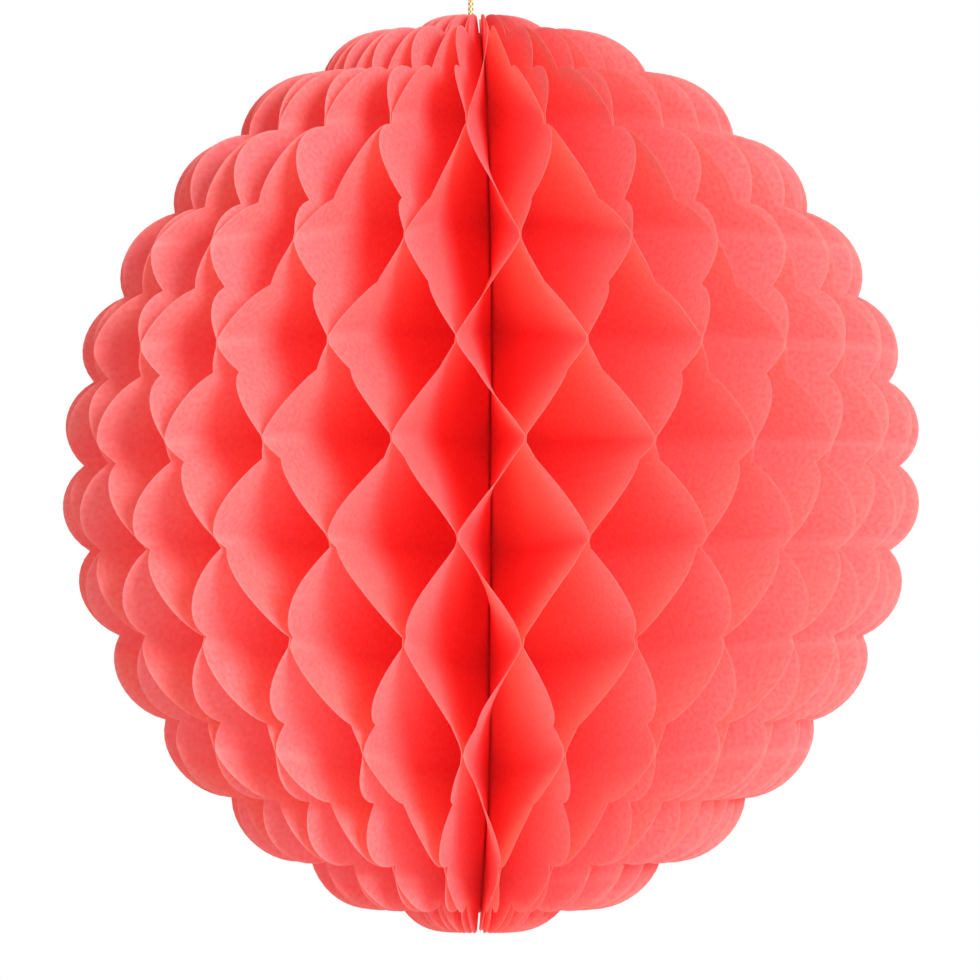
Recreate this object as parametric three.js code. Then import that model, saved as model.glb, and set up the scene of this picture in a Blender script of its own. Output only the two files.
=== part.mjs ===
// Honeycomb paper ball: a pad of scalloped half-round tissue leaves, glued to each other along
// staggered lines, fanned right round its bound spine and closed cover to cover, on a gold cord.
// Millimetres, +Z up, origin at the top of the hanging loop, front of the ball towards -Y.

import * as THREE from 'three';

// Driving dimensions of one flat tissue leaf
const LEAF_RADIUS = 102.1;
const ARC_SETBACK = 8;
const LOBE_ANGLE = 12.5;
const LOBE_DEPTH = 4.7;
const FIRST_NOTCH_ANGLE = 14.2;
const SHOULDER_SWELL = 1.2;

// Driving dimensions of the glued pad and of its spine
const LEAF_COUNT = 47;
const GLUE_PITCH = 23.8;
const GLUE_WIDTH = 1.6;
const MIDDLE_GLUE_HEIGHT = 6;
const SPINE_RADIUS = 3.5;

// How the fan opens: its cells are wider on one side and at the front than at the other side
const FAN_LEAN_ANGLE = 7.5;
const FAN_SPREAD_ANGLE = 4;
const SWAY_ROUNDNESS = 0.12;

// Driving dimensions of the two covers and of the tape that holds them together
const COVER_RADIUS = 90;
const COVER_THICKNESS = 0.5;
const TAPE_THICKNESS = 0.2;
const TAPE_WIDTH = 12;
const TAPE_LENGTH = 120;
const TAPE_FROM_SPINE = 48;

// Driving dimensions of the cord
const CORD_DIAMETER = 1.2;
const CORD_LENGTH = 31;
const CORD_FROM_AXIS = 1.7;
const KNOT_DIAMETER = 3.4;
const KNOT_HEIGHT = 4;
const LOOP_HEIGHT = 16;
const LOOP_WIDTH = 7;

// Gap between pieces that touch
const TOUCH_GAP = 0.3;

// How finely the curves are stepped
const LOBE_STEPS = 5;
const COVER_STEPS = 32;
const CORD_SIDES = 8;
const CORD_STEPS = 10;
const LOOP_STEPS = 26;
const KNOT_SIDES = 12;
const KNOT_STEPS = 6;

// Colours
const tissueFinish = new THREE.MeshStandardMaterial({ color: 0xff5a50, roughness: 0.85 });
const cardFinish = new THREE.MeshStandardMaterial({ color: 0xe8574d, roughness: 0.7 });
const tapeFinish = new THREE.MeshStandardMaterial({ color: 0xf2eee2, roughness: 0.4 });
const goldFinish = new THREE.MeshStandardMaterial({ color: 0xd9b45a, roughness: 0.35, metalness: 0.8 });

const radians = THREE.MathUtils.degToRad;

// Notches of a flat leaf, as angles from the top of its arc to the bottom. The lobes at both ends
// of the spine are narrower than the rest.
const END_ANGLE = THREE.MathUtils.radToDeg(Math.asin(ARC_SETBACK / LEAF_RADIUS));
const NARROWEST_LOBE = LOBE_ANGLE / 3;

function notchAngles() {
  const angles = [END_ANGLE];
  const last = 180 - END_ANGLE;
  for (let angle = FIRST_NOTCH_ANGLE; angle < last - NARROWEST_LOBE; angle += LOBE_ANGLE) {
    angles.push(angle);
  }
  return [...angles, last];
}

// Outline of a flat leaf, as points with a reach from the spine and a height.
// Each lobe is a circular arc that stands on the line through the notches, and that line is a circle
// that swells a little between the middle and both ends of the spine.
const NOTCH_RADIUS = LEAF_RADIUS - LOBE_DEPTH;

function outlinePoint(angle, rise) {
  const swell = SHOULDER_SWELL * Math.sin(radians(2 * angle)) ** 2;
  const radius = NOTCH_RADIUS + swell + rise;
  const reach = radius * Math.sin(radians(angle)) - ARC_SETBACK;
  return { reach, height: radius * Math.cos(radians(angle)) };
}

function lobePoints(startAngle, endAngle) {
  const width = endAngle - startAngle;
  const depth = LOBE_DEPTH * (width / LOBE_ANGLE);
  const halfChord = NOTCH_RADIUS * Math.sin(radians(width / 2));
  const arcRadius = (halfChord ** 2 + depth ** 2) / (2 * depth);
  const points = [];
  for (let k = 0; k < LOBE_STEPS; k += 1) {
    const along = halfChord * ((2 * k) / LOBE_STEPS - 1);
    const rise = Math.sqrt(arcRadius ** 2 - along ** 2) - (arcRadius - depth);
    points.push(outlinePoint(startAngle + (width * k) / LOBE_STEPS, rise));
  }
  return points;
}

function scallopedOutline() {
  const notches = notchAngles();
  const points = notches.slice(1).flatMap((notch, k) => lobePoints(notches[k], notch));
  return [...points, outlinePoint(notches.at(-1), 0)];
}

// The bound spine ends where the outline comes out of it, and the free rim starts there
const OUTLINE = scallopedOutline();
const RIM = OUTLINE.filter((point) => point.reach > SPINE_RADIUS);
const SPINE_TOP = OUTLINE[OUTLINE.indexOf(RIM[0]) - 1].height;
const SPINE_BOTTOM = OUTLINE[OUTLINE.indexOf(RIM.at(-1)) + 1].height;

// Glue lines: straight level strips at an even pitch, kept clear of both ends of the spine
function glueRows() {
  const rows = [];
  const clear = GLUE_PITCH / 4;
  const highest = Math.floor((SPINE_TOP - clear - MIDDLE_GLUE_HEIGHT) / GLUE_PITCH);
  const lowest = Math.ceil((SPINE_BOTTOM + clear - MIDDLE_GLUE_HEIGHT) / GLUE_PITCH);
  for (let index = highest; index >= lowest; index -= 1) {
    const height = MIDDLE_GLUE_HEIGHT + index * GLUE_PITCH;
    rows.push({ index, upper: height + GLUE_WIDTH / 2, lower: height - GLUE_WIDTH / 2 });
  }
  return rows;
}

// The outline cut into bands from top to bottom: free paper, then a glued strip, then free paper again.
// Each band keeps its rim points and the heights of its points along the spine.
function leafBands(rows) {
  const levels = rows.flatMap((row) => [row.upper, row.lower]);
  const bands = [];
  let rim = [RIM[0]];
  let top = SPINE_TOP;
  let next = 1;
  levels.forEach((level, k) => {
    while (RIM[next].height > level) {
      rim.push(RIM[next]);
      next += 1;
    }
    const above = rim.at(-1);
    const below = RIM[next];
    const share = (above.height - level) / (above.height - below.height);
    const crossing = { reach: above.reach + share * (below.reach - above.reach), height: level };
    rim.push(crossing);
    const glued = k % 2 === 1;
    const spine = glued ? [top, level] : [top, (top + level) / 2, level];
    bands.push({ rim, spine, row: glued ? rows[(k - 1) / 2].index : null });
    rim = [crossing];
    top = level;
  });
  rim.push(...RIM.slice(next));
  bands.push({ rim, spine: [top, (top + SPINE_BOTTOM) / 2, SPINE_BOTTOM], row: null });
  return bands;
}

// Across its wedge a leaf sways from one neighbour's glue line to the other's: 0 is left, 1 is right
const FRONT_LEAF = Math.floor((LEAF_COUNT - 1) / 2);

function gluedRight(leaf, row) {
  return (Math.abs(leaf - FRONT_LEAF + row) % 2) === 0;
}

function sway(leaf, height) {
  const row = Math.floor((height - MIDDLE_GLUE_HEIGHT) / GLUE_PITCH);
  const above = height - MIDDLE_GLUE_HEIGHT - row * GLUE_PITCH;
  const share = THREE.MathUtils.clamp((above - GLUE_WIDTH / 2) / (GLUE_PITCH - GLUE_WIDTH), 0, 1);
  const eased = THREE.MathUtils.lerp(share, THREE.MathUtils.smoothstep(share, 0, 1), SWAY_ROUNDNESS);
  return gluedRight(leaf, row) ? 1 - eased : eased;
}

// A swaying leaf keeps its length along the paper, so what it sways it loses in height
function settledHeight(reach, height) {
  const swing = 2 * reach * Math.sin(Math.PI / LEAF_COUNT);
  return height * Math.sqrt(1 - (swing / GLUE_PITCH) ** 2);
}

// The fan: upright planes part the leaves, and the first and last plane lie along the covers
const COVER_FACE = TAPE_THICKNESS / 2 + TOUCH_GAP;
const FAN_EDGE = COVER_FACE + COVER_THICKNESS + TOUCH_GAP;

function fanAngle(evenAngle) {
  const lean = FAN_LEAN_ANGLE * (Math.cos(radians(evenAngle)) - 1);
  return radians(evenAngle + lean + FAN_SPREAD_ANGLE * Math.sin(radians(2 * evenAngle)));
}

function planePoint(plane, reach) {
  const ends = [SPINE_RADIUS, LEAF_RADIUS].map((radius) => {
    const edge = THREE.MathUtils.radToDeg(Math.asin(FAN_EDGE / radius));
    const angle = fanAngle(-180 + edge + (360 - 2 * edge) * (plane / LEAF_COUNT));
    return new THREE.Vector3(radius * Math.sin(angle), -radius * Math.cos(angle), 0);
  });
  return ends[0].lerp(ends[1], (reach - SPINE_RADIUS) / (LEAF_RADIUS - SPINE_RADIUS));
}

// All the leaves as one glued solid. A leaf is thickest at the spine and comes to an edge at its rim.
// Where two leaves are glued, the faces between them are left out, so that they share one wall.
function honeycombGeometry() {
  const bands = leafBands(glueRows());
  const heights = [SPINE_TOP, ...bands.flatMap((band) => band.spine.slice(1))];
  const corners = [];
  const triangle = (a, b, c) => corners.push(a, b, c);
  const spinePoint = (plane, height) => {
    const point = planePoint(plane, SPINE_RADIUS);
    return point.setZ(settledHeight(SPINE_RADIUS, height));
  };
  const rimPoint = (leaf, { reach, height }) => {
    const point = planePoint(leaf, reach);
    point.lerp(planePoint(leaf + 1, reach), sway(leaf, height));
    return point.setZ(settledHeight(reach, height));
  };

  // One face of a leaf between two glue lines, stitched from the spine to the rim
  const stitchBand = (leaf, band, right) => {
    const plane = right ? leaf + 1 : leaf;
    const face = right ? triangle : (a, b, c) => triangle(a, c, b);
    const spine = band.spine.map((height) => spinePoint(plane, height));
    const rim = band.rim.map((point) => rimPoint(leaf, point));
    let s = 0;
    let r = 0;
    while (s < spine.length - 1 || r < rim.length - 1) {
      const spineNext = s < spine.length - 1 ? band.spine[s + 1] : -Infinity;
      const rimNext = r < rim.length - 1 ? band.rim[r + 1].height : -Infinity;
      if (rimNext >= spineNext) {
        face(spine[s], rim[r], rim[r + 1]);
        r += 1;
      } else {
        face(spine[s], rim[r], spine[s + 1]);
        s += 1;
      }
    }
  };

  for (let leaf = 0; leaf < LEAF_COUNT; leaf += 1) {
    for (const band of bands) {
      const strip = band.row !== null;
      const rightShared = strip && gluedRight(leaf, band.row) && leaf < LEAF_COUNT - 1;
      const leftShared = strip && !gluedRight(leaf, band.row) && leaf > 0;
      if (!rightShared) stitchBand(leaf, band, true);
      if (!leftShared) stitchBand(leaf, band, false);
    }
    const first = rimPoint(leaf, bands[0].rim[0]);
    const last = rimPoint(leaf, bands.at(-1).rim.at(-1));
    triangle(spinePoint(leaf, SPINE_TOP), first, spinePoint(leaf + 1, SPINE_TOP));
    triangle(spinePoint(leaf, SPINE_BOTTOM), spinePoint(leaf + 1, SPINE_BOTTOM), last);
  }

  // Ends of the bound spine, and its narrow back wall between the covers
  const topMiddle = new THREE.Vector3(0, 0, settledHeight(SPINE_RADIUS, SPINE_TOP));
  const bottomMiddle = new THREE.Vector3(0, 0, settledHeight(SPINE_RADIUS, SPINE_BOTTOM));
  for (let plane = 0; plane <= LEAF_COUNT; plane += 1) {
    const next = plane < LEAF_COUNT ? plane + 1 : 0;
    triangle(topMiddle, spinePoint(plane, SPINE_TOP), spinePoint(next, SPINE_TOP));
    triangle(bottomMiddle, spinePoint(next, SPINE_BOTTOM), spinePoint(plane, SPINE_BOTTOM));
  }
  for (let k = 0; k < heights.length - 1; k += 1) {
    const [high, low] = [heights[k], heights[k + 1]];
    const lastLow = spinePoint(LEAF_COUNT, low);
    const firstHigh = spinePoint(0, high);
    triangle(spinePoint(LEAF_COUNT, high), lastLow, firstHigh);
    triangle(lastLow, spinePoint(0, low), firstHigh);
  }
  return new THREE.BufferGeometry().setFromPoints(corners);
}

// Covers and tape lie on the upright plane through the seam at the back, one on each side of it
const SEAM_ANGLE = fanAngle(180);

function ontoSeam(geometry, fromSeam) {
  const outward = new THREE.Vector3(Math.sin(SEAM_ANGLE), -Math.cos(SEAM_ANGLE), 0);
  const up = new THREE.Vector3(0, 0, 1);
  const across = new THREE.Vector3().crossVectors(outward, up);
  const place = new THREE.Matrix4().makeBasis(outward, up, across);
  place.setPosition(across.multiplyScalar(fromSeam));
  return geometry.applyMatrix4(place);
}

function coverGeometry(fromSeam) {
  const straightEdge = SPINE_RADIUS + TOUCH_GAP;
  const startAngle = Math.acos((straightEdge + ARC_SETBACK) / COVER_RADIUS);
  const halfRound = new THREE.Shape();
  halfRound.absarc(-ARC_SETBACK, 0, COVER_RADIUS, -startAngle, startAngle, false);
  halfRound.closePath();
  const options = { depth: COVER_THICKNESS, bevelEnabled: false, curveSegments: COVER_STEPS };
  return ontoSeam(new THREE.ExtrudeGeometry(halfRound, options), fromSeam);
}

function tapeGeometry() {
  const strip = new THREE.BoxGeometry(TAPE_WIDTH, TAPE_LENGTH, TAPE_THICKNESS);
  return ontoSeam(strip.translate(TAPE_FROM_SPINE, 0, 0), 0);
}

// Cord: a plain round tube along a path, a knot, and a loop that starts and ends in the knot
function cordGeometry(path, steps) {
  const section = new THREE.Shape();
  section.absarc(0, 0, CORD_DIAMETER / 2, 0, 2 * Math.PI, false);
  const options = { steps, extrudePath: path, curveSegments: CORD_SIDES };
  return new THREE.ExtrudeGeometry(section, options);
}

function straightCordGeometry() {
  const top = new THREE.Vector3(0, 0, CORD_LENGTH);
  return cordGeometry(new THREE.LineCurve3(new THREE.Vector3(0, 0, 0), top), CORD_STEPS);
}

function knotGeometry() {
  const profile = [];
  for (let k = 0; k <= KNOT_STEPS; k += 1) {
    const angle = Math.PI * (k / KNOT_STEPS - 0.5);
    const radius = k % KNOT_STEPS === 0 ? 0 : (KNOT_DIAMETER / 2) * Math.cos(angle);
    profile.push(new THREE.Vector2(radius, (KNOT_HEIGHT / 2) * Math.sin(angle)));
  }
  return new THREE.LatheGeometry(profile, KNOT_SIDES).rotateX(Math.PI / 2);
}

function loopGeometry() {
  const strandGap = (CORD_DIAMETER + TOUCH_GAP) / 2;
  const side = (LOOP_WIDTH - CORD_DIAMETER) / 2;
  const top = LOOP_HEIGHT + CORD_DIAMETER / 2;
  const points = [
    [-strandGap, 0],
    [-strandGap * 1.6, LOOP_HEIGHT * 0.2],
    [-side, LOOP_HEIGHT * 0.66],
    [-side * 0.72, LOOP_HEIGHT * 0.92],
    [0, top],
    [side * 0.72, LOOP_HEIGHT * 0.92],
    [side, LOOP_HEIGHT * 0.66],
    [strandGap * 1.6, LOOP_HEIGHT * 0.2],
    [strandGap, 0],
  ];
  const path = new THREE.CatmullRomCurve3(points.map(([x, z]) => new THREE.Vector3(x, 0, z)));
  return cordGeometry(path, LOOP_STEPS);
}

// Assembly, from the hanging point at the origin down to the ball
function piece(name, geometry, finish) {
  const mesh = new THREE.Mesh(geometry, finish);
  mesh.name = name;
  return mesh;
}

const cordAssembly = new THREE.Group();
const loop = piece('hang_loop', loopGeometry(), goldFinish);
loop.position.z = -LOOP_HEIGHT;
const knot = piece('cord_knot', knotGeometry(), goldFinish);
knot.position.z = loop.position.z - TOUCH_GAP - KNOT_HEIGHT / 2;
const cord = piece('hanging_cord', straightCordGeometry(), goldFinish);
cord.position.z = knot.position.z - KNOT_HEIGHT / 2 - TOUCH_GAP - CORD_LENGTH;
cordAssembly.add(loop, knot, cord);

const ball = new THREE.Group();
const spineTop = settledHeight(SPINE_RADIUS, SPINE_TOP);
ball.position.set(CORD_FROM_AXIS, 0, cord.position.z - TOUCH_GAP - spineTop);
ball.add(
  piece('honeycomb_paper', honeycombGeometry(), tissueFinish),
  piece('first_cover_card', coverGeometry(-COVER_FACE - COVER_THICKNESS), cardFinish),
  piece('last_cover_card', coverGeometry(COVER_FACE), cardFinish),
  piece('closing_tape', tapeGeometry(), tapeFinish),
);

const honeycombBall = new THREE.Group();
honeycombBall.add(ball, cordAssembly);

export default honeycombBall;
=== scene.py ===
# %% [markdown]
# # A honeycomb paper ball
#
# This lesson dresses a paper ball for its portrait. The real one is a pad of thin coral tissue
# leaves, glued to each other along staggered lines. Fanned right round its spine and closed cover
# to cover, the pad opens into cells. Each leaf is cut with a scalloped edge, so the ball looks like
# a heap of petals. A thin gold cord holds it up.
#
# The solid model gives the frame: everything here is in metres and sits where its solid sits.

# %% Load the fixed frame
import math

import bmesh
import bpy
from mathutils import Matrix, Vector


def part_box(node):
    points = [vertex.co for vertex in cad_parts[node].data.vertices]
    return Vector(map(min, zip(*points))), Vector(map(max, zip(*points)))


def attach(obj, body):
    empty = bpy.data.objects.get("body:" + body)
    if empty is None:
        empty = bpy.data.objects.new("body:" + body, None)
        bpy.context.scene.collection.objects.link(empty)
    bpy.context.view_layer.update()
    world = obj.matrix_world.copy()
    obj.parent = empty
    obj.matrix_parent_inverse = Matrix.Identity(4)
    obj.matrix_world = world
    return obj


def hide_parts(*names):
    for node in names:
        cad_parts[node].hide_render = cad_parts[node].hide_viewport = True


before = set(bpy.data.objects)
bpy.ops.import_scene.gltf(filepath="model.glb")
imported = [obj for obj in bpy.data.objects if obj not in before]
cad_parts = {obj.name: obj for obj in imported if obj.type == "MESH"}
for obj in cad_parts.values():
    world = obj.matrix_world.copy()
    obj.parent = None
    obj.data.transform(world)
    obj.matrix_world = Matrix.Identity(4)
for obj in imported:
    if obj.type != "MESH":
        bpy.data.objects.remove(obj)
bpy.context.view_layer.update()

MM = 0.001
scene = bpy.context.scene
print("solids:", ", ".join(sorted(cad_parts)))

# %% [markdown]
# ## Where the ball hangs
#
# Two solids say where the ball is. A cover card is as tall above the ball's middle as below it, and
# the cord hangs a little to one side of the spine. So the middle of the ball needs no measuring.

# %% The middle of the ball
AXIS_FROM_CORD = 1.7 * MM

card_low, card_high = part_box("first_cover_card")
paper_low, paper_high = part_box("honeycomb_paper")
cord_low, cord_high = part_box("hanging_cord")
cord_line = (cord_low + cord_high) / 2
ball_middle = Vector((cord_line.x + AXIS_FROM_CORD, cord_line.y, (card_low.z + card_high.z) / 2))
ball_height = paper_high.z - paper_low.z
print("ball middle:", [round(c, 4) for c in ball_middle], "height:", round(ball_height, 4))

# %% [markdown]
# ## The camera
#
# The portrait was taken from far off with a long lens, a little below the ball's middle: near
# petals are hardly larger than far ones. The picture is square, so one scale sets the lens: how
# many picture points one millimetre takes at the ball's middle.

# %% Point the camera
PICTURE_WIDTH = 980
BALL_HEIGHT_IN_PICTURE = 915
AXIS_IN_PICTURE = 478.5
MIDDLE_IN_PICTURE = 472.5
CAMERA_DISTANCE = 1.5
CAMERA_ELEVATION = math.radians(-1)

points_per_metre = BALL_HEIGHT_IN_PICTURE / ball_height
half_picture = PICTURE_WIDTH / 2
aim = ball_middle + Vector((
    (half_picture - AXIS_IN_PICTURE) / points_per_metre,
    0,
    (MIDDLE_IN_PICTURE - half_picture) / points_per_metre,
))
camera = bpy.data.objects.new("portrait_camera", bpy.data.cameras.new("portrait_camera"))
camera.data.lens = CAMERA_DISTANCE * points_per_metre * camera.data.sensor_width / PICTURE_WIDTH
backward = Vector((0, -math.cos(CAMERA_ELEVATION), math.sin(CAMERA_ELEVATION)))
camera.location = aim + backward * CAMERA_DISTANCE
camera.rotation_euler = (-backward).to_track_quat("-Z", "Y").to_euler()
scene.collection.objects.link(camera)
scene.camera = camera
print("lens:", round(camera.data.lens, 1), "mm")

# %% [markdown]
# ## Numbers that flow through nodes
#
# The leaves follow a rule, so Geometry Nodes build them. A rule with sines and square roots is
# hard to read as a web of boxes. This small helper lets the rule be written as plain sums: each
# sign adds one Math node to the tree. The same helper serves the materials further down.

# %% A helper for sums in a node tree
class Wire:
    """A number that flows through a node tree. Signs and calls on it add Math nodes."""

    def __init__(self, tree, socket):
        self.tree = tree
        self.socket = socket

    def math(self, operation, *others):
        node = self.tree.nodes.new("ShaderNodeMath")
        node.operation = operation
        for slot, value in zip(node.inputs, (self, *others)):
            if isinstance(value, Wire):
                self.tree.links.new(value.socket, slot)
            else:
                slot.default_value = value
        return Wire(self.tree, node.outputs[0])

    def __add__(self, other):
        return self.math("ADD", other)

    def __sub__(self, other):
        return self.math("SUBTRACT", other)

    def __mul__(self, other):
        return self.math("MULTIPLY", other)

    def __truediv__(self, other):
        return self.math("DIVIDE", other)

    def __rsub__(self, other):
        return self * -1 + other

    def __rtruediv__(self, other):
        return self.math("POWER", -1.0) * other

    __radd__ = __add__
    __rmul__ = __mul__

    def squared(self):
        return self * self

    def clamped(self, low=0.0, high=1.0):
        return self.math("MAXIMUM", low).math("MINIMUM", high)

    def towards(self, other, share):
        return self + (other - self) * share


def add_node(tree, kind, **settings):
    node = tree.nodes.new(kind)
    for name, value in settings.items():
        setattr(node, name, value)
    return node


def plug(tree, socket, value):
    if isinstance(value, Wire):
        tree.links.new(value.socket, socket)
    elif isinstance(value, bpy.types.NodeSocket):
        tree.links.new(value, socket)
    else:
        socket.default_value = value


def join_vector(tree, x, y, z):
    node = add_node(tree, "ShaderNodeCombineXYZ")
    for socket, value in zip(node.inputs, (x, y, z)):
        plug(tree, socket, value)
    return node.outputs[0]


def split_vector(tree, socket):
    node = add_node(tree, "ShaderNodeSeparateXYZ")
    plug(tree, node.inputs[0], socket)
    return [Wire(tree, output) for output in node.outputs]


print("sums are ready")

# %% [markdown]
# ## The sizes of a leaf and of the fan
#
# Most of these are the solid model's sizes, repeated in metres. A flat leaf is a little less than a half
# circle: its straight edge is the spine. Its arc carries twelve whole lobes and a narrower one at each
# end. Glue lines lie level on it at an even pitch, and each leaf is glued to its left and right neighbour
# in turn. The spine is drawn thinner than the solid's, so that no light shows through beside it, and the
# unevenness, flutter, wrinkle and wander are what soft tissue adds.

# %% Sizes that the leaf rule takes
LEAF_COUNT = 47
WHOLE_LOBES = 12

LEAF_SIZES = {
    "Leaf Radius": 102.1 * MM,
    "Arc Setback": 8 * MM,
    "Lobe Angle": math.radians(12.5),
    "Lobe Depth": 4.7 * MM,
    "First Notch Angle": math.radians(14.2),
    "Shoulder Swell": 1.2 * MM,
    "Rim Band": 5 * MM,
    "Whole Lobes": WHOLE_LOBES,
    "Leaf Count": LEAF_COUNT,
    "Glue Pitch": 23.8 * MM,
    "Glue Width": 1.6 * MM,
    "Middle Glue Height": 6 * MM,
    "Spine Radius": 1.0 * MM,
    "Fan Lean": math.radians(7.5),
    "Fan Spread": math.radians(4),
    "Fan Edge": 1.2 * MM,
    "Sway Roundness": 0.12,
    "Spine Bow": 2.7 * MM,
    "Sheet Gap": 0.07 * MM,
    "Fan Unevenness": math.radians(0.7),
    "Flutter": 0.07,
    "Wrinkle": 0.02,
    "Wander": 0.7 * MM,
    "Seed": 4,
}
print(len(LEAF_SIZES), "sizes")

# %% [markdown]
# ## The rule of one leaf
#
# A point on a leaf has three numbers: how many lobes it lies along the scalloped edge, its share of
# the way from spine to rim, and its leaf's place in the fan. From these come a reach and a height on
# the flat leaf. The grid runs level from the spine to a band inside the rim, and from there straight
# outward, so that no face folds over at a notch. Then the leaf sways across its wedge, from the neighbour
# on one side to the one on the other, and what it sways it loses in height: paper doesn't stretch.

# %% The flat, scalloped leaf
RIM_BAND_FROM = 0.75


def flat_leaf(size, lobe, share):
    """The reach from the spine and the height of a point on the flat leaf."""
    notch_radius = size["Leaf Radius"] - size["Lobe Depth"]
    end_angle = (size["Arc Setback"] / size["Leaf Radius"]).math("ARCSINE")
    first_width = size["First Notch Angle"] - end_angle
    last_notch = size["First Notch Angle"] + size["Lobe Angle"] * size["Whole Lobes"]
    last_width = math.pi - end_angle - last_notch
    past_first = lobe - 1
    past_last = past_first - size["Whole Lobes"]
    angle = end_angle + first_width * lobe.clamped()
    angle = angle + size["Lobe Angle"] * past_first.math("MAXIMUM", 0.0).math("MINIMUM", size["Whole Lobes"])
    angle = angle + last_width * past_last.clamped()

    breadth = 1 + (first_width / size["Lobe Angle"] - 1) * lobe.math("LESS_THAN", 1.0)
    breadth = breadth + (last_width / size["Lobe Angle"] - 1) * past_last.math("GREATER_THAN", 0.0)
    half_chord = notch_radius * (size["Lobe Angle"] / 2).math("SINE")
    arc = (half_chord.squared() + size["Lobe Depth"].squared()) / (size["Lobe Depth"] * 2)
    along = half_chord * (lobe.math("FRACT") * 2 - 1)
    rise = (arc.squared() - along.squared()).math("SQRT") - (arc - size["Lobe Depth"])
    swell = size["Shoulder Swell"] * (angle * 2).math("SINE").squared()
    rim_radius = notch_radius + swell + rise * breadth

    band_radius = notch_radius - size["Rim Band"] * angle.math("SINE")
    in_band = ((share - RIM_BAND_FROM) / (1 - RIM_BAND_FROM)).clamped()
    radius = band_radius.towards(rim_radius, in_band)
    full_reach = (radius * angle.math("SINE") - size["Arc Setback"]).math("MAXIMUM", size["Spine Radius"])
    reach = size["Spine Radius"].towards(full_reach, (share / RIM_BAND_FROM).clamped())
    return reach, radius * angle.math("COSINE")


print("flat leaf rule is ready")

# %% [markdown]
# A fan that is opened by hand is never even. Its cells are wider on the left and at the front, and
# each parting between two leaves strays a little. The partings are what strays, not the leaves, so
# that two glued leaves stay together.

# %% The partings of the fan
def parting_point(tree, size, place, reach):
    """Where the upright plane between two leaves stands, at a reach from the spine."""
    uneven = add_node(tree, "FunctionNodeRandomValue", data_type="FLOAT")
    plug(tree, uneven.inputs[2], -1.0)
    plug(tree, uneven.inputs[3], 1.0)
    plug(tree, uneven.inputs["ID"], place)
    plug(tree, uneven.inputs["Seed"], size["Seed"])
    from_cover = place.math("MINIMUM", size["Leaf Count"] - place).clamped()
    stray = Wire(tree, uneven.outputs[1]) * size["Fan Unevenness"] * from_cover
    ends = []
    for radius in (size["Spine Radius"], size["Leaf Radius"]):
        edge = (size["Fan Edge"] / radius).math("ARCSINE")
        even = edge - math.pi + (2 * math.pi - edge * 2) * place / size["Leaf Count"]
        lean = size["Fan Lean"] * (even.math("COSINE") - 1)
        angle = even + lean + size["Fan Spread"] * (even * 2).math("SINE") + stray
        ends.append((radius * angle.math("SINE"), radius * angle.math("COSINE") * -1))
    share = (reach - size["Spine Radius"]) / (size["Leaf Radius"] - size["Spine Radius"])
    return ends[0][0].towards(ends[1][0], share), ends[0][1].towards(ends[1][1], share)


print("fan rule is ready")

# %% [markdown]
# Between two glue lines the free paper bends over in a soft S. Tissue is so thin that it also
# flutters a little there and keeps small wrinkles that run outward. Two smooth noises give these, and
# the fixed seed makes them the same each time.

# %% The sway of a leaf across its wedge
def noise(tree, vector, scale, seed):
    node = add_node(tree, "ShaderNodeTexNoise", noise_dimensions="4D")
    plug(tree, node.inputs["Vector"], vector)
    plug(tree, node.inputs["W"], seed)
    plug(tree, node.inputs["Scale"], scale)
    plug(tree, node.inputs["Detail"], 1.0)
    return node


def sway(tree, size, leaf, reach, height):
    """A leaf's place across its wedge: 0 on its left neighbour's side, 1 on its right one's."""
    front_leaf = (LEAF_COUNT - 1) // 2
    flutter_scale = 38.0
    wrinkle_scale = 130.0
    wrinkle_stretch = 0.35
    leaf_spacing = 0.31
    level = (height - size["Middle Glue Height"]) / size["Glue Pitch"]
    row = level.math("FLOOR")
    above = (level - row) * size["Glue Pitch"]
    free = ((above - size["Glue Width"] / 2) / (size["Glue Pitch"] - size["Glue Width"])).clamped()
    curve = free.squared() * (3 - free * 2)
    eased = free.towards(curve, size["Sway Roundness"])
    odd = ((leaf - front_leaf + row) / 2).math("FRACT").math("GREATER_THAN", 0.25)
    across = (1 - eased).towards(eased, odd)
    spot = join_vector(tree, reach, leaf * leaf_spacing, height)
    wave = Wire(tree, noise(tree, spot, flutter_scale, size["Seed"]).outputs["Fac"]) * 2 - 1
    fine_spot = join_vector(tree, reach * wrinkle_stretch, leaf * leaf_spacing, height)
    fine = Wire(tree, noise(tree, fine_spot, wrinkle_scale, size["Seed"]).outputs["Fac"]) * 2 - 1
    loose = free * (1 - free) * 4
    across = across + (wave * size["Flutter"] + fine * size["Wrinkle"]) * loose
    wedge = reach * (math.pi / size["Leaf Count"]).math("SINE") * 2
    keep = (size["Sheet Gap"] / wedge).math("MINIMUM", 0.3)
    return keep.towards(1 - keep, across.clamped())


print("sway rule is ready")

# %% [markdown]
# ## The tree that makes the leaves
#
# One flat grid stands for a leaf: its columns run along the lobes and its rows from spine to rim. The
# grid is set on each point of a line and takes that point's number as its leaf number. Then every
# point of every copy goes where the rule sends it. The share from spine to rim and the place on the flat
# leaf stay on the mesh, because the tissue's material needs them.

# %% Build the leaf tree
LOBE_SAMPLES = 12
REACH_STEPS = 12
LOBES_CUT_AT_POLE = 0.25

def named_number(tree, name):
    node = add_node(tree, "GeometryNodeInputNamedAttribute", data_type="FLOAT")
    node.inputs["Name"].default_value = name
    return Wire(tree, node.outputs["Attribute"])


def store_value(tree, geometry, name, value, domain, kind="FLOAT"):
    node = add_node(tree, "GeometryNodeStoreNamedAttribute", data_type=kind, domain=domain)
    plug(tree, node.inputs["Geometry"], geometry)
    node.inputs["Name"].default_value = name
    plug(tree, node.inputs["Value"], value)
    return node.outputs["Geometry"]


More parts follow.
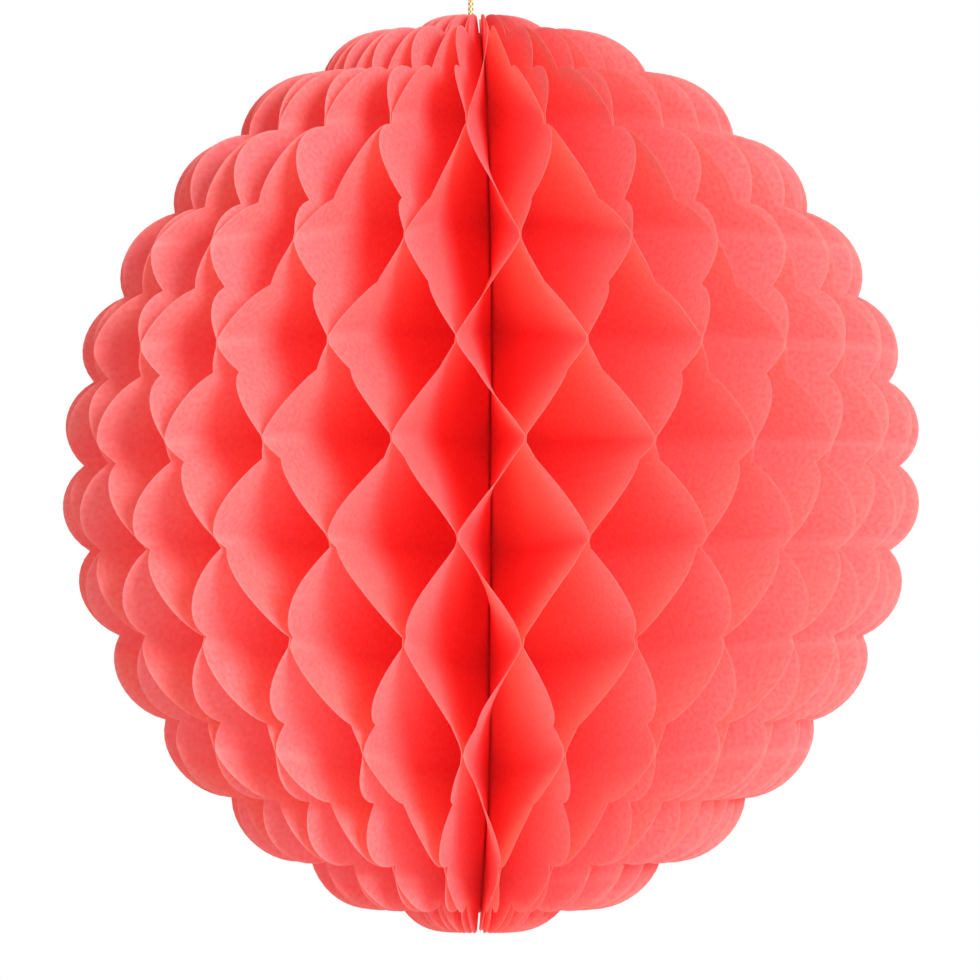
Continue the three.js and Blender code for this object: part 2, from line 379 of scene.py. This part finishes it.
def leaf_position(tree, size):
    """Where the rule sends a point of a leaf, in the part's frame, and its place on the flat leaf."""
    wander_scale = 16.0
    leaf = named_number(tree, "leaf")
    reach, height = flat_leaf(size, named_number(tree, "lobe"), named_number(tree, "share"))
    across = sway(tree, size, leaf, reach, height)
    left = parting_point(tree, size, leaf, reach)
    right = parting_point(tree, size, leaf + 1, reach)
    x = left[0].towards(right[0], across)
    y = left[1].towards(right[1], across)
    swung = reach * (math.pi / size["Leaf Count"]).math("SINE") * 2 / size["Glue Pitch"]
    z = height * (1 - swung.squared()).math("SQRT")
    x = x + size["Spine Bow"] * (1 - (z / size["Leaf Radius"]).squared().squared())
    stray = noise(tree, join_vector(tree, x, y, z), wander_scale, size["Seed"])
    strays = split_vector(tree, stray.outputs["Color"])
    place = [n + (s * 2 - 1) * size["Wander"] for n, s in zip((x, y, z), strays)]
    position = join_vector(tree, *(n + float(m) for n, m in zip(place, ball_middle)))
    return position, join_vector(tree, reach + leaf, height, 0.0)


def build_leaf_tree(material):
    tree = bpy.data.node_groups.new("honeycomb_leaves", "GeometryNodeTree")
    for name, value in {**LEAF_SIZES, "First Leaf": 0, "Leaves": 1}.items():
        kind = "NodeSocketInt" if isinstance(value, int) else "NodeSocketFloat"
        tree.interface.new_socket(name, in_out="INPUT", socket_type=kind)
    tree.interface.new_socket("Geometry", in_out="OUTPUT", socket_type="NodeSocketGeometry")
    given = add_node(tree, "NodeGroupInput")
    size = {socket.name: Wire(tree, socket) for socket in given.outputs if socket.name}

    lobes = WHOLE_LOBES + 2
    grid = add_node(tree, "GeometryNodeMeshGrid")
    shown_lobes = lobes - 2 * LOBES_CUT_AT_POLE
    for name, value in {
        "Size X": shown_lobes,
        "Size Y": 1.0,
        "Vertices X": round(shown_lobes * LOBE_SAMPLES) + 1,
        "Vertices Y": REACH_STEPS + 1,
    }.items():
        grid.inputs[name].default_value = value
    spot = add_node(tree, "GeometryNodeInputPosition").outputs[0]
    column, row, _ = split_vector(tree, spot)
    leaf = store_value(tree, grid.outputs["Mesh"], "lobe", column + lobes / 2, "POINT")
    leaf = store_value(tree, leaf, "share", row + 0.5, "POINT")

    line = add_node(tree, "GeometryNodeMeshLine")
    plug(tree, line.inputs["Count"], size["Leaves"])
    fan = add_node(tree, "GeometryNodeInstanceOnPoints")
    plug(tree, fan.inputs["Points"], line.outputs["Mesh"])
    plug(tree, fan.inputs["Instance"], leaf)
    index = Wire(tree, add_node(tree, "GeometryNodeInputIndex").outputs[0])
    numbered = store_value(tree, fan.outputs[0], "leaf", index + size["First Leaf"], "INSTANCE")
    realised = add_node(tree, "GeometryNodeRealizeInstances")
    plug(tree, realised.inputs[0], numbered)
    position, flat_place = leaf_position(tree, size)
    kept = store_value(tree, realised.outputs[0], "flat_place", flat_place, "POINT", "FLOAT_VECTOR")
    moved = add_node(tree, "GeometryNodeSetPosition")
    plug(tree, moved.inputs["Geometry"], kept)
    plug(tree, moved.inputs["Position"], position)
    dressed = add_node(tree, "GeometryNodeSetMaterial")
    plug(tree, dressed.inputs["Geometry"], moved.outputs[0])
    dressed.inputs["Material"].default_value = material
    plug(tree, add_node(tree, "NodeGroupOutput").inputs[0], dressed.outputs[0])
    return tree


print("leaf grid:", LOBE_SAMPLES, "points a lobe,", REACH_STEPS, "steps from spine to rim")

# %% [markdown]
# ## Coral tissue
#
# Tissue paper throws part of the light back and lets nearly as much through. That is why the depths of
# the cells glow red: light passes leaf after leaf, and each one takes out more of the green and blue.
# The sheet itself is uneven, with fine clouds of fibre. A painted highlight makes its cut edge and a band
# along each glue line paler.
#
# A leaf here has two faces with a hair of space between them, but tissue acts on light only once. So
# only the outward side of a face colours the light, and its inner side lets it pass.

# %% Shader helpers
def new_material(name):
    material = bpy.data.materials.new(name)
    material.use_nodes = True
    material.node_tree.nodes.clear()
    return material, material.node_tree


NOISE_ROUGHNESS = 0.6


def object_noise(tree, scale, detail):
    coordinates = add_node(tree, "ShaderNodeTexCoord").outputs["Object"]
    node = add_node(tree, "ShaderNodeTexNoise")
    plug(tree, node.inputs["Vector"], coordinates)
    node.inputs["Scale"].default_value = scale
    node.inputs["Detail"].default_value = detail
    node.inputs["Roughness"].default_value = NOISE_ROUGHNESS
    return Wire(tree, node.outputs[0])


def mix_colour(tree, share, first, second):
    node = add_node(tree, "ShaderNodeMix", data_type="RGBA")
    plug(tree, node.inputs[0], share)
    for socket, colour in zip((node.inputs[6], node.inputs[7]), (first, second)):
        plug(tree, socket, (*colour, 1.0) if isinstance(colour, tuple) else colour)
    return node.outputs[2]


def bump(tree, height, strength, distance):
    node = add_node(tree, "ShaderNodeBump")
    node.inputs["Strength"].default_value = strength
    node.inputs["Distance"].default_value = distance
    plug(tree, node.inputs["Height"], height)
    return node.outputs[0]


def mesh_number(tree, name):
    node = add_node(tree, "ShaderNodeAttribute", attribute_name=name)
    return Wire(tree, node.outputs["Fac"])


def finish_material(tree, shader):
    plug(tree, add_node(tree, "ShaderNodeOutputMaterial").inputs["Surface"], shader)


print("shader helpers are ready")

# %% The tissue material
FIBRE_SCALE = 900.0
FIBRE_CONTRAST = 1.3
# Painted highlight: a pale band along each glue line, where the bent paper catches the lamp.
PAINTED_CREASE_HIGHLIGHT_WIDTH = 3.2 * MM
PAINTED_CREASE_HIGHLIGHT_FROM = 0.45
PAINTED_CREASE_HIGHLIGHT_FADE = 0.4
PAINTED_CREASE_HIGHLIGHT = 0.4
# Painted highlight: a pale band inside the cut edge, where the edge catches the lamp.
PAINTED_EDGE_HIGHLIGHT_FROM = 0.975
PAINTED_EDGE_HIGHLIGHT_FADE = 0.015
PAINTED_EDGE_HIGHLIGHT = 0.3
SHARE_PASSED = 0.6
THROWN_THIN = (0.95, 0.27, 0.30)
THROWN_THICK = (1.0, 0.42, 0.46)
# The colour of the painted highlights on the cut edge and along the glue lines.
THROWN_PAINTED_HIGHLIGHT = (1.0, 0.62, 0.60)
PASSED_THICK = (0.99, 0.14, 0.085)
PASSED_THIN = (1.0, 0.22, 0.15)


def tissue_material():
    material, tree = new_material("coral_tissue")
    flat_place = add_node(tree, "ShaderNodeAttribute", attribute_name="flat_place").outputs["Vector"]
    cloud = add_node(tree, "ShaderNodeTexNoise", noise_dimensions="2D")
    plug(tree, cloud.inputs["Vector"], flat_place)
    cloud.inputs["Scale"].default_value = FIBRE_SCALE
    cloud.inputs["Detail"].default_value = 1.0
    fibre = Wire(tree, cloud.outputs[0]) * FIBRE_CONTRAST + (1 - FIBRE_CONTRAST) / 2
    share = mesh_number(tree, "share")
    # Painted highlight along the cut edge.
    edge = ((share - PAINTED_EDGE_HIGHLIGHT_FROM) / PAINTED_EDGE_HIGHLIGHT_FADE).clamped()
    flat_height = split_vector(tree, flat_place)[1]
    level = (flat_height - LEAF_SIZES["Middle Glue Height"]) / LEAF_SIZES["Glue Pitch"]
    pitch_in_widths = LEAF_SIZES["Glue Pitch"] / PAINTED_CREASE_HIGHLIGHT_WIDTH
    # Painted highlight along each glue line, fading out towards the spine.
    from_crease = ((level + 0.5).math("FRACT") - 0.5).math("ABSOLUTE") * pitch_in_widths
    painted_crease_highlight = (1 - from_crease).clamped().squared() * ((share - PAINTED_CREASE_HIGHLIGHT_FROM) / PAINTED_CREASE_HIGHLIGHT_FADE).clamped()
    # How much painted highlight the thrown colour takes, from the cut edge and the glue lines.
    pale = (edge * PAINTED_EDGE_HIGHLIGHT + painted_crease_highlight * PAINTED_CREASE_HIGHLIGHT).clamped()
    thrown = mix_colour(tree, fibre, THROWN_THIN, THROWN_THICK)
    thrown = mix_colour(tree, pale, thrown, THROWN_PAINTED_HIGHLIGHT)
    passed = mix_colour(tree, fibre, PASSED_THICK, PASSED_THIN)

    face = add_node(tree, "ShaderNodeBsdfDiffuse")
    plug(tree, face.inputs["Color"], thrown)
    through = add_node(tree, "ShaderNodeBsdfTranslucent")
    plug(tree, through.inputs["Color"], passed)
    both = add_node(tree, "ShaderNodeMixShader")
    both.inputs[0].default_value = SHARE_PASSED
    plug(tree, both.inputs[1], face.outputs[0])
    plug(tree, both.inputs[2], through.outputs[0])
    inner_side = add_node(tree, "ShaderNodeNewGeometry").outputs["Backfacing"]
    one_layer = add_node(tree, "ShaderNodeMixShader")
    plug(tree, one_layer.inputs[0], inner_side)
    plug(tree, one_layer.inputs[1], both.outputs[0])
    plug(tree, one_layer.inputs[2], add_node(tree, "ShaderNodeBsdfTransparent").outputs[0])
    finish_material(tree, one_layer.outputs[0])
    return material


tissue = tissue_material()
leaf_tree = build_leaf_tree(tissue)
print("leaf tree:", len(leaf_tree.nodes), "nodes")

# %% [markdown]
# ## Three runs of leaves
#
# The fan starts at the closed covers behind, runs round by the left, the front and the right, and
# comes back to the covers. It is made in three runs so that each one stays a light mesh. A leaf has
# two faces and a thin cut edge all round, so it is a closed sheet.

# %% Make the leaves
SHEET_THICKNESS = 0.05 * MM
SHARP_EDGE = math.radians(50)
LEAF_RUNS = {"leaves_left": (0, 16), "leaves_front": (16, 16), "leaves_right": (32, 15)}


def place_piece(piece, slot, *nodes):
    """Hang a finished piece on the part's one body, in place of its solid."""
    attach(piece, "root")
    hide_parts(*nodes)


def make_leaves(name, first, count):
    carrier = bpy.data.objects.new(name + "_carrier", bpy.data.meshes.new(name + "_carrier"))
    scene.collection.objects.link(carrier)
    rule = carrier.modifiers.new("leaves", "NODES")
    rule.node_group = leaf_tree
    values = {**LEAF_SIZES, "First Leaf": first, "Leaves": count}
    for item in leaf_tree.interface.items_tree:
        if item.in_out == "INPUT":
            rule[item.identifier] = values[item.name]
    sheet = carrier.modifiers.new("sheet", "SOLIDIFY")
    sheet.thickness = SHEET_THICKNESS
    sheet.offset = 0.0
    evaluated = carrier.evaluated_get(bpy.context.evaluated_depsgraph_get())
    mesh = bpy.data.meshes.new_from_object(evaluated)
    bpy.data.objects.remove(carrier)
    mesh.shade_smooth()
    mesh.set_sharp_from_angle(angle=SHARP_EDGE)
    piece = bpy.data.objects.new(name, mesh)
    scene.collection.objects.link(piece)
    return piece


for name, (first, count) in LEAF_RUNS.items():
    piece = make_leaves(name, first, count)
    place_piece(piece, "tissue", "honeycomb_paper")
    print(name, "has", count, "leaves and", 2 * len(piece.data.polygons), "triangles")

# %% [markdown]
# ## Cover cards and tape
#
# The pad's first and last leaf are backed by half-round cards. Closed back to back, with a strip of
# tape between them, they hold the ball open. Only their edges show, in the seam behind. Each is
# made as a grid of points that follows the spine's bow, and is then given its thickness.

# %% Flat sheets that follow the bow
SEAM_ANGLE = math.pi - 2 * LEAF_SIZES["Fan Lean"]
outward = Vector((math.sin(SEAM_ANGLE), -math.cos(SEAM_ANGLE), 0))
sideways = Vector((-outward.y, outward.x, 0))


def seam_point(reach, height, offset):
    """A point at the seam: its reach from the spine, its height and its distance to one side."""
    bow = LEAF_SIZES["Spine Bow"] * (1 - (height / LEAF_SIZES["Leaf Radius"]) ** 4)
    return ball_middle + outward * reach + sideways * offset + Vector((bow, 0, height))


def sheet_piece(name, rows, thickness, material):
    """A closed sheet from rows of points."""
    width = len(rows[0])
    faces = [
        (r * width + c, r * width + c + 1, (r + 1) * width + c + 1, (r + 1) * width + c)
        for r in range(len(rows) - 1)
        for c in range(width - 1)
    ]
    flat = bpy.data.meshes.new(name + "_flat")
    flat.from_pydata([point for row in rows for point in row], [], faces)
    carrier = bpy.data.objects.new(name + "_carrier", flat)
    scene.collection.objects.link(carrier)
    thick = carrier.modifiers.new("thickness", "SOLIDIFY")
    thick.thickness = thickness
    thick.offset = 0.0
    evaluated = carrier.evaluated_get(bpy.context.evaluated_depsgraph_get())
    mesh = bpy.data.meshes.new_from_object(evaluated)
    bpy.data.objects.remove(carrier)
    mesh.shade_smooth()
    mesh.set_sharp_from_angle(angle=SHARP_EDGE)
    mesh.materials.append(material)
    piece = bpy.data.objects.new(name, mesh)
    scene.collection.objects.link(piece)
    print(name, "has", 2 * len(mesh.polygons), "triangles")
    return piece


# %% The card and tape materials
CARD_DARK = (0.72, 0.09, 0.08)
CARD_LIGHT = (0.86, 0.15, 0.13)
TAPE_DARK = (0.80, 0.78, 0.72)
TAPE_LIGHT = (0.90, 0.88, 0.83)


def card_material():
    material, tree = new_material("coral_card")
    fibre = object_noise(tree, 420.0, 4.0)
    specks = object_noise(tree, 1500.0, 2.0)
    shade = ((fibre - 0.5) * 1.4 + (specks - 0.5) * 0.6 + 0.5).clamped()
    face = add_node(tree, "ShaderNodeBsdfPrincipled")
    plug(tree, face.inputs["Base Color"], mix_colour(tree, shade, CARD_DARK, CARD_LIGHT))
    plug(tree, face.inputs["Roughness"], shade * 0.15 + 0.7)
    plug(tree, face.inputs["Normal"], bump(tree, fibre, 0.3, 0.0002))
    face.inputs["Specular IOR Level"].default_value = 0.25
    finish_material(tree, face.outputs[0])
    return material


def tape_material():
    material, tree = new_material("clear_tape")
    ripple = object_noise(tree, 260.0, 2.0)
    face = add_node(tree, "ShaderNodeBsdfPrincipled")
    plug(tree, face.inputs["Base Color"], mix_colour(tree, ripple, TAPE_DARK, TAPE_LIGHT))
    plug(tree, face.inputs["Roughness"], ripple * 0.2 + 0.25)
    plug(tree, face.inputs["Normal"], bump(tree, ripple, 0.2, 0.0002))
    finish_material(tree, face.outputs[0])
    return material


# %% Make the cards and the tape
CARD_RADIUS = 90 * MM
CARD_THICKNESS = 0.5 * MM
CARD_FROM_SEAM = 0.65 * MM
CARD_EDGE_REACH = 3.8 * MM
CARD_ROWS = 64
CARD_COLUMNS = 24
TAPE_THICKNESS = 0.2 * MM
TAPE_WIDTH = 12 * MM
TAPE_LENGTH = 120 * MM
TAPE_FROM_SPINE = 48 * MM
TAPE_ROWS = 40
TAPE_COLUMNS = 4
CARD_CORNER = 0.5 * MM


def card_rows(offset):
    setback = LEAF_SIZES["Arc Setback"]
    corner_reach = CARD_EDGE_REACH + CARD_CORNER + setback
    top = math.sqrt(CARD_RADIUS**2 - corner_reach**2)
    rows = []
    for r in range(CARD_ROWS + 1):
        height = top * math.sin(math.pi * (r / CARD_ROWS - 0.5))
        rim = math.sqrt(CARD_RADIUS**2 - height**2) - setback
        reaches = [
            CARD_EDGE_REACH + (rim - CARD_EDGE_REACH) * (c / CARD_COLUMNS) for c in range(CARD_COLUMNS + 1)
        ]
        rows.append([seam_point(reach, height, offset) for reach in reaches])
    return rows


def tape_rows():
    reaches = [TAPE_FROM_SPINE + TAPE_WIDTH * (c / TAPE_COLUMNS - 0.5) for c in range(TAPE_COLUMNS + 1)]
    heights = [TAPE_LENGTH * (r / TAPE_ROWS - 0.5) for r in range(TAPE_ROWS + 1)]
    return [[seam_point(reach, height, 0) for reach in reaches] for height in heights]


card = card_material()
for node, offset in (("first_cover_card", CARD_FROM_SEAM), ("last_cover_card", -CARD_FROM_SEAM)):
    piece = sheet_piece(node + "_board", card_rows(offset), CARD_THICKNESS, card)
    place_piece(piece, "cover_card", node)
tape = sheet_piece("closing_tape_strip", tape_rows(), TAPE_THICKNESS, tape_material())
place_piece(tape, "tape", "closing_tape")

# %% [markdown]
# ## The gold cord
#
# The cord is a thin braid of yellow and gold threads. Two families of threads wind round it, one to the
# left and one to the right, and where they cross they bulge. So its round surface carries a pattern of
# small diamonds, pale on their crests, with painted shade in dark brown in the gaps between.

# %% A braided tube
CORD_RADIUS = 0.6 * MM
BRAID_DIAMONDS = 4
BRAID_LENGTH = 1.15 * MM
BRAID_DEPTH = 0.2
TUBE_SIDES = 32
TUBE_STEP = 0.11 * MM


def smooth_path(points, step):
    """Points at an even step along a smooth line through the given ones."""
    ends = [points[0] * 2 - points[1], *points, points[-1] * 2 - points[-2]]
    dense = []
    for a, b, c, d in zip(ends, ends[1:], ends[2:], ends[3:]):
        count = max(2, round((c - b).length / step))
        for k in range(count):
            t = k / count
            bend = a * -1 + b * 3 - c * 3 + d
            turn = a * 2 - b * 5 + c * 4 - d
            dense.append(b + ((c - a) * t + turn * t**2 + bend * t**3) / 2)
    return [*dense, points[-1]]


def braid_relief(angle, distance):
    """How high the braid stands: 0 in a gap between threads, 1 on a crest."""
    wind = math.pi * distance / BRAID_LENGTH
    round_it = BRAID_DIAMONDS * angle / 2
    return math.sqrt(abs(math.sin(round_it + wind) * math.sin(round_it - wind)))


def braided_tube(name, points, radius, material):
    path = smooth_path(points, TUBE_STEP)
    vertices, relief = [], []
    heading = (path[1] - path[0]).normalized()
    side = heading.orthogonal().normalized()
    distance = 0.0
    for i, point in enumerate(path):
        before, after = path[max(i - 1, 0)], path[min(i + 1, len(path) - 1)]
        distance += (point - before).length if i else 0.0
        turned = (after - before).normalized()
        side = heading.rotation_difference(turned) @ side
        heading = turned
        other = heading.cross(side)
        for k in range(TUBE_SIDES):
            angle = 2 * math.pi * k / TUBE_SIDES
            high = braid_relief(angle, distance)
            spread = radius * (1 - BRAID_DEPTH * (1 - high))
            vertices.append(point + (side * math.cos(angle) + other * math.sin(angle)) * spread)
            relief.append(high)
    rings = len(path)
    faces = [
        (r * TUBE_SIDES + k, r * TUBE_SIDES + (k + 1) % TUBE_SIDES,
         (r + 1) * TUBE_SIDES + (k + 1) % TUBE_SIDES, (r + 1) * TUBE_SIDES + k)
        for r in range(rings - 1)
        for k in range(TUBE_SIDES)
    ]
    faces.append(tuple(reversed(range(TUBE_SIDES))))
    faces.append(tuple(range((rings - 1) * TUBE_SIDES, rings * TUBE_SIDES)))
    mesh = bpy.data.meshes.new(name)
    mesh.from_pydata(vertices, [], faces)
    mesh.attributes.new("relief", "FLOAT", "POINT").data.foreach_set("value", relief)
    mesh.shade_smooth()
    mesh.set_sharp_from_angle(angle=SHARP_EDGE)
    mesh.materials.append(material)
    piece = bpy.data.objects.new(name, mesh)
    scene.collection.objects.link(piece)
    print(name, "is", round(distance / MM, 1), "mm long and has", 2 * len(faces), "triangles")
    return piece


# %% The gold thread material
# Painted shade: a dark brown for the gaps between the threads, where the braid sinks in.
THREAD_GAP_PAINTED_SHADE = (0.16, 0.075, 0.018)
THREAD_GOLD = (0.80, 0.58, 0.22)
THREAD_PALE = (0.95, 0.82, 0.50)


def cord_material():
    material, tree = new_material("gold_thread")
    relief = mesh_number(tree, "relief")
    thread = object_noise(tree, 2600.0, 2.0)
    patch = object_noise(tree, 500.0, 1.0)
    # Painted shade: the colour goes dark brown where the braid sinks into a gap, and random patches shift
    # the border.
    crest = ((relief - 0.25) * 1.7 + (patch - 0.5) * 0.5).clamped()
    pale = mix_colour(tree, thread, THREAD_GOLD, THREAD_PALE)
    face = add_node(tree, "ShaderNodeBsdfPrincipled")
    plug(tree, face.inputs["Base Color"], mix_colour(tree, crest, THREAD_GAP_PAINTED_SHADE, pale))
    plug(tree, face.inputs["Metallic"], crest * 0.35)
    plug(tree, face.inputs["Roughness"], thread * 0.3 + 0.35)
    plug(tree, face.inputs["Normal"], bump(tree, thread, 0.3, 0.00005))
    finish_material(tree, face.outputs[0])
    return material


# %% [markdown]
# The photograph shows only the cord's lower end, held straight by the ball's weight. What holds it is
# out of view, so it ends there in a knot and a small hanging loop. The knot is a barrel knot: the cord
# goes round itself a few times and is drawn tight.

# %% Make the cord, its knot and its loop
CORD_INTO_BALL = 1.6 * MM
CORD_INTO_KNOT = 0.9 * MM
CORD_POINTS = 24
KNOT_TURNS = 2.6
KNOT_RADIUS = 1.05 * MM
KNOT_STRAND_RADIUS = 0.58 * MM
KNOT_HALF_HEIGHT = 1.35 * MM
KNOT_POINTS = 48
KNOT_TUCK = 0.55
LOOP_HEIGHT = 16 * MM
LOOP_HALF_WIDTH = 2.9 * MM
LOOP_TOP = 16.6 * MM
STRAND_HALF_GAP = 0.75 * MM
LOOP_INTO_KNOT = 1.0 * MM

gold = cord_material()
cord_from = cord_low.z - CORD_INTO_BALL
cord_to = cord_high.z + CORD_INTO_KNOT
cord_path = [
    Vector((cord_line.x, cord_line.y, cord_from + (cord_to - cord_from) * k / (CORD_POINTS - 1)))
    for k in range(CORD_POINTS)
]
cord = braided_tube("hanging_cord_braid", cord_path, CORD_RADIUS, gold)

knot_low, knot_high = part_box("cord_knot")
knot_middle = (knot_low + knot_high) / 2
knot_path = []
for k in range(KNOT_POINTS + 1):
    share = k / KNOT_POINTS
    turn = 2 * math.pi * KNOT_TURNS * share
    tuck = 1 - KNOT_TUCK * abs(2 * share - 1) ** 8
    knot_path.append(knot_middle + Vector((
        KNOT_RADIUS * tuck * math.cos(turn),
        KNOT_RADIUS * tuck * math.sin(turn),
        KNOT_HALF_HEIGHT * (2 * share - 1),
    )))
knot = braided_tube("cord_knot_braid", knot_path, KNOT_STRAND_RADIUS, gold)

loop_base = Vector((0, 0, -LOOP_HEIGHT))
half_loop = [
    (STRAND_HALF_GAP * 0.7, -LOOP_INTO_KNOT),
    (STRAND_HALF_GAP, 0),
    (1.2 * MM, LOOP_HEIGHT * 0.2),
    (LOOP_HALF_WIDTH, LOOP_HEIGHT * 0.66),
    (LOOP_HALF_WIDTH * 0.72, LOOP_HEIGHT * 0.92),
]
left_side = [loop_base + Vector((-x, 0, z)) for x, z in half_loop]
right_side = [loop_base + Vector((x, 0, z)) for x, z in reversed(half_loop)]
loop_path = [*left_side, loop_base + Vector((0, 0, LOOP_TOP)), *right_side]
loop = braided_tube("hang_loop_braid", loop_path, CORD_RADIUS, gold)

for piece, node in ((cord, "hanging_cord"), (knot, "cord_knot"), (loop, "hang_loop")):
    place_piece(piece, "gold_cord", node)

# %% [markdown]
# ## Light, backdrop and floor
#
# A lamp the width of a small umbrella stands a little to the right of the camera and a little above it, so
# petals that face it are pale and those turned away sink into red. A weaker even light fills the rest.
# The backdrop is plain white to the eye, but the paper is lit by the weaker light, so it isn't washed out.
#
# Red light hardly dies out between the leaves: it goes on from leaf to leaf until it finds its way out.
# To follow it that far would take very long. After a few leaves the renderer therefore stops, and takes
# the light in the cell to be even. Each leaf has an inner side to pass, so twice as many clear crossings
# are allowed. A pale floor lies well below the hanging ball.

# %% Light the ball
LAMP_AZIMUTH = math.radians(23)
LAMP_ELEVATION = math.radians(12)
LAMP_DISTANCE = 1.4
LAMP_SIZE = 0.5
LAMP_POWER = 23.0
LAMP_COLOUR = (1.0, 0.96, 0.91)
FILL_STRENGTH = 0.6
FILL_COLOUR = (0.97, 0.985, 1.0, 1.0)
LEAVES_FOLLOWED = 3
EVEN_LIGHT_SPAN = 0.6 * MM
EVEN_LIGHT = 2.0
BACKDROP_STRENGTH = 1.0
FLOOR_BELOW_BALL = 0.22
FLOOR_HALF_SIZE = 1.6
FLOOR_THICKNESS = 0.01

lamp_data = bpy.data.lights.new("soft_lamp", "AREA")
lamp_data.shape = "DISK"
lamp_data.size = LAMP_SIZE
lamp_data.energy = LAMP_POWER
lamp_data.color = LAMP_COLOUR
lamp = bpy.data.objects.new("soft_lamp", lamp_data)
towards_lamp = Vector((
    math.sin(LAMP_AZIMUTH) * math.cos(LAMP_ELEVATION),
    -math.cos(LAMP_AZIMUTH) * math.cos(LAMP_ELEVATION),
    math.sin(LAMP_ELEVATION),
))
lamp.location = ball_middle + towards_lamp * LAMP_DISTANCE
lamp.rotation_euler = (-towards_lamp).to_track_quat("-Z", "Y").to_euler()
scene.collection.objects.link(lamp)

world = bpy.data.worlds.new("studio")
world.use_nodes = True
world.node_tree.nodes.clear()
fill = add_node(world.node_tree, "ShaderNodeBackground")
fill.inputs["Strength"].default_value = FILL_STRENGTH
fill.inputs["Color"].default_value = FILL_COLOUR
backdrop = add_node(world.node_tree, "ShaderNodeBackground")
backdrop.inputs["Strength"].default_value = BACKDROP_STRENGTH
backdrop.inputs["Color"].default_value = (1, 1, 1, 1)
light_path = add_node(world.node_tree, "ShaderNodeLightPath")
ray = {socket.name: Wire(world.node_tree, socket) for socket in light_path.outputs}
clear = ray["Is Transmission Ray"] * (1 - ray["Is Diffuse Ray"])
seen = (ray["Is Camera Ray"] + ray["Is Glossy Ray"] + clear).clamped()
choice = add_node(world.node_tree, "ShaderNodeMixShader")
plug(world.node_tree, choice.inputs[0], seen)
plug(world.node_tree, choice.inputs[1], fill.outputs[0])
plug(world.node_tree, choice.inputs[2], backdrop.outputs[0])
plug(world.node_tree, add_node(world.node_tree, "ShaderNodeOutputWorld").inputs[0], choice.outputs[0])
scene.world = world
scene.view_settings.view_transform = "Standard"
scene.cycles.use_fast_gi = True
scene.cycles.fast_gi_method = "REPLACE"
scene.cycles.ao_bounces_render = LEAVES_FOLLOWED
world.light_settings.distance = EVEN_LIGHT_SPAN
world.light_settings.ao_factor = EVEN_LIGHT
scene.cycles.transparent_max_bounces = 2 * LEAVES_FOLLOWED
scene.cycles.use_light_tree = False
print("lamp at", [round(c, 2) for c in lamp.location])

# %% Lay the floor
def floor_material():
    material, tree = new_material("pale_floor")
    grain = object_noise(tree, 40.0, 3.0)
    face = add_node(tree, "ShaderNodeBsdfPrincipled")
    plug(tree, face.inputs["Base Color"], mix_colour(tree, grain, (0.88, 0.88, 0.88), (0.92, 0.92, 0.92)))
    face.inputs["Roughness"].default_value = 0.9
    face.inputs["Specular IOR Level"].default_value = 0.1
    finish_material(tree, face.outputs[0])
    return material


floor_mesh = bpy.data.meshes.new("floor")
shape = bmesh.new()
bmesh.ops.create_cube(shape, size=1.0)
bmesh.ops.scale(shape, vec=(2 * FLOOR_HALF_SIZE, 2 * FLOOR_HALF_SIZE, FLOOR_THICKNESS), verts=shape.verts)
floor_top = paper_low.z - FLOOR_BELOW_BALL
bmesh.ops.translate(shape, vec=(0, 0, floor_top - FLOOR_THICKNESS / 2), verts=shape.verts)
shape.to_mesh(floor_mesh)
shape.free()
floor_mesh.materials.append(floor_material())
floor = bpy.data.objects.new("floor", floor_mesh)
scene.collection.objects.link(floor)
print("floor top at", round(floor_top, 3))
